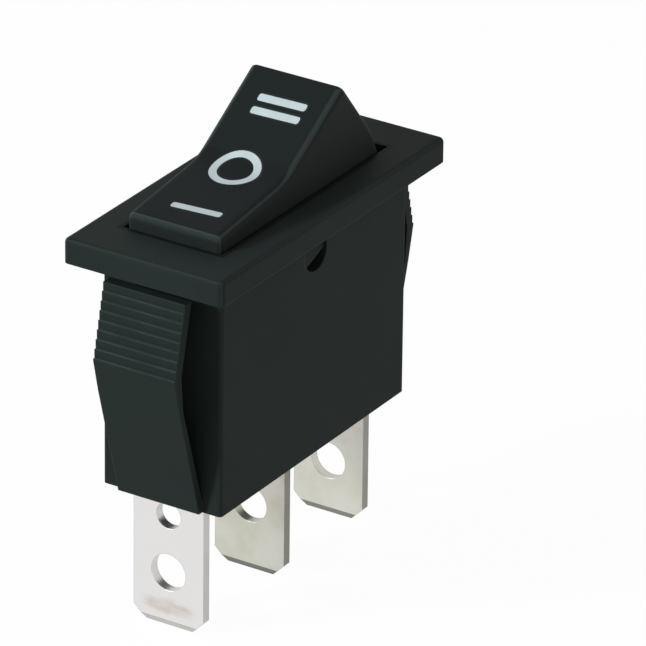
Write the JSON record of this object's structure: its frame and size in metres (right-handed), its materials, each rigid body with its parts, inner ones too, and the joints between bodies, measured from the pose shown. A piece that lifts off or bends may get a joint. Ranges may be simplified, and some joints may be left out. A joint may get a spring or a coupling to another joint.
{
  "type": "rocker switch",
  "caption": "Narrow black snap-in rocker switch with legends I, O and II, a thin flange, stepped snap arms and flat blade terminals with round eyes.",
  "frame": {"origin": "centre of the opening at the flange's underside, where the panel's face lies", "axes": "+Z out of the panel, X along the switch with the I end at -X, Y across it"},
  "size_m": [0.0336, 0.0142, 0.0394],
  "materials": {
    "housing_plastic": "fine spark texture, black",
    "rocker_plastic": "fine spark texture, black",
    "legend_ink": "printed, matt white",
    "plunger_plastic": "natural white, smooth",
    "spring_steel": "drawn wire",
    "bridge_copper": "stamped copper alloy",
    "contact_silver": "silver face on a copper rivet",
    "terminal_metal": "silver plated, satin"
  },
  "bodies": {
    "base": {"housing": "housing_plastic", "terminal_common": "terminal_metal", "terminal_1": "terminal_metal", "terminal_2": "terminal_metal", "fixed_contact_1": "contact_silver", "fixed_contact_2": "contact_silver"},
    "rocker": {"rocker": "rocker_plastic", "legend_one": "legend_ink", "legend_off": "legend_ink", "legend_two": "legend_ink", "spring": "spring_steel"},
    "plunger": {"plunger": "plunger_plastic"},
    "bridge": {"contact_bridge": "bridge_copper", "moving_contact_1": "contact_silver", "moving_contact_2": "contact_silver"}
  },
  "joints": [
    {"name": "rocker_turn", "type": "hinge", "parent": "base", "child": "rocker", "pos_m": [0, 0, -0.00205], "axis": [0, 1, 0], "range_deg": [0, 39]},
    {"name": "bridge_tip", "type": "hinge", "parent": "base", "child": "bridge", "pos_m": [0, 0, -0.01296], "axis": [0, 1, 0], "range_deg": [-15.6, 0]},
    {"name": "plunger_slide", "type": "slide", "parent": "rocker", "child": "plunger", "axis": [-0.3338, 0, 0.9426], "range_m": [0, 0.0008], "stiffness_N_per_m": 500, "springref_m": -0.0015, "deforming": ["spring"]}
  ],
  "couplings": [
    {"joint": "bridge_tip", "follows": "rocker_turn", "ratio": -0.4}
  ]
}
